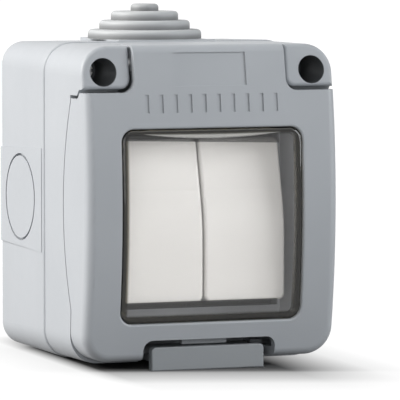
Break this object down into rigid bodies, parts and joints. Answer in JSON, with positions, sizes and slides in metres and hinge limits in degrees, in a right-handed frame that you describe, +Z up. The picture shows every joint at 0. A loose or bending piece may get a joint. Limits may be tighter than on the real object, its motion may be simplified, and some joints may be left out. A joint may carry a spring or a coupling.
{
  "type": "outdoor weatherproof switch",
  "caption": "Surface-mounted weatherproof wall switch: grey box with stepped cable grommet and a hinged, latched lid whose clear window covers paired tilting rockers.",
  "frame": {"origin": "centre of the box's back face, on the wall plane, half way up the box", "axes": "+X across to the right as seen from the front, +Y into the wall, +Z up"},
  "size_m": [0.0684, 0.0633, 0.0905],
  "materials": {
    "housing_grey": "fine moulded grey plastic",
    "grommet_rubber": "soft light grey rubber",
    "seal_rubber": "black rubber",
    "window_clear": "clear, slightly smoked",
    "rocker_white": "glossy warm white",
    "carrier_plastic": "moulded grey",
    "plunger_plastic": "plain moulded",
    "screw_steel": "zinc plated",
    "terminal_brass": "plain brass"
  },
  "bodies": {
    "housing": {"back_box": "housing_grey", "cable_grommet": "grommet_rubber", "box_seal": "seal_rubber", "front_frame": "housing_grey", "cover_screws": "screw_steel", "hinge_pins": "screw_steel", "mechanism_plate": "carrier_plastic", "plate_screws": "screw_steel", "mechanism_base": "carrier_plastic", "base_screws": "screw_steel", "terminal_screws": "terminal_brass", "common_terminal_left": "terminal_brass", "upper_terminal_left": "terminal_brass", "lower_terminal_left": "terminal_brass", "common_terminal_right": "terminal_brass", "upper_terminal_right": "terminal_brass", "lower_terminal_right": "terminal_brass"},
    "lid": {"lid": "housing_grey", "window": "window_clear", "lid_seal": "seal_rubber"},
    "latch": {"lid_latch": "housing_grey"},
    "rocker_left": {"rocker_left": "rocker_white", "plunger_spring_left": "screw_steel"},
    "plunger_left": {"plunger_left": "plunger_plastic"},
    "blade_left": {"contact_blade_left": "terminal_brass"},
    "rocker_right": {"rocker_right": "rocker_white", "plunger_spring_right": "screw_steel"},
    "plunger_right": {"plunger_right": "plunger_plastic"},
    "blade_right": {"contact_blade_right": "terminal_brass"}
  },
  "joints": [
    {"name": "lid_hinge", "type": "hinge", "parent": "housing", "child": "lid", "pos_m": [0, -0.0563, 0.0355], "axis": [-1, 0, 0], "range_deg": [0, 100]},
    {"name": "latch_press", "type": "hinge", "parent": "housing", "child": "latch", "pos_m": [0, -0.0467, -0.0378], "axis": [1, 0, 0], "range_deg": [0, 5], "stiffness_Nm_per_rad": 1},
    {"name": "rocker_left_tilt", "type": "hinge", "parent": "housing", "child": "rocker_left", "pos_m": [-0.0111, -0.0466, -0.0051], "axis": [1, 0, 0], "range_deg": [0, 14]},
    {"name": "plunger_left_slide", "type": "slide", "parent": "rocker_left", "child": "plunger_left", "axis": [0, 0.9925, -0.1219], "range_m": [0, 0.00028], "stiffness_N_per_m": 300, "springref_m": 0.0003},
    {"name": "blade_left_rock", "type": "hinge", "parent": "housing", "child": "blade_left", "pos_m": [-0.0111, -0.0346, -0.0051], "axis": [1, 0, 0], "range_deg": [-14, 0]},
    {"name": "rocker_right_tilt", "type": "hinge", "parent": "housing", "child": "rocker_right", "pos_m": [0.0111, -0.0466, -0.0051], "axis": [1, 0, 0], "range_deg": [0, 14]},
    {"name": "plunger_right_slide", "type": "slide", "parent": "rocker_right", "child": "plunger_right", "axis": [0, 0.9925, -0.1219], "range_m": [0, 0.00028], "stiffness_N_per_m": 300, "springref_m": 0.0003},
    {"name": "blade_right_rock", "type": "hinge", "parent": "housing", "child": "blade_right", "pos_m": [0.0111, -0.0346, -0.0051], "axis": [1, 0, 0], "range_deg": [-14, 0]}
  ],
  "couplings": [
    {"joint": "blade_left_rock", "follows": "rocker_left_tilt", "ratio": -1},
    {"joint": "blade_right_rock", "follows": "rocker_right_tilt", "ratio": -1}
  ]
}
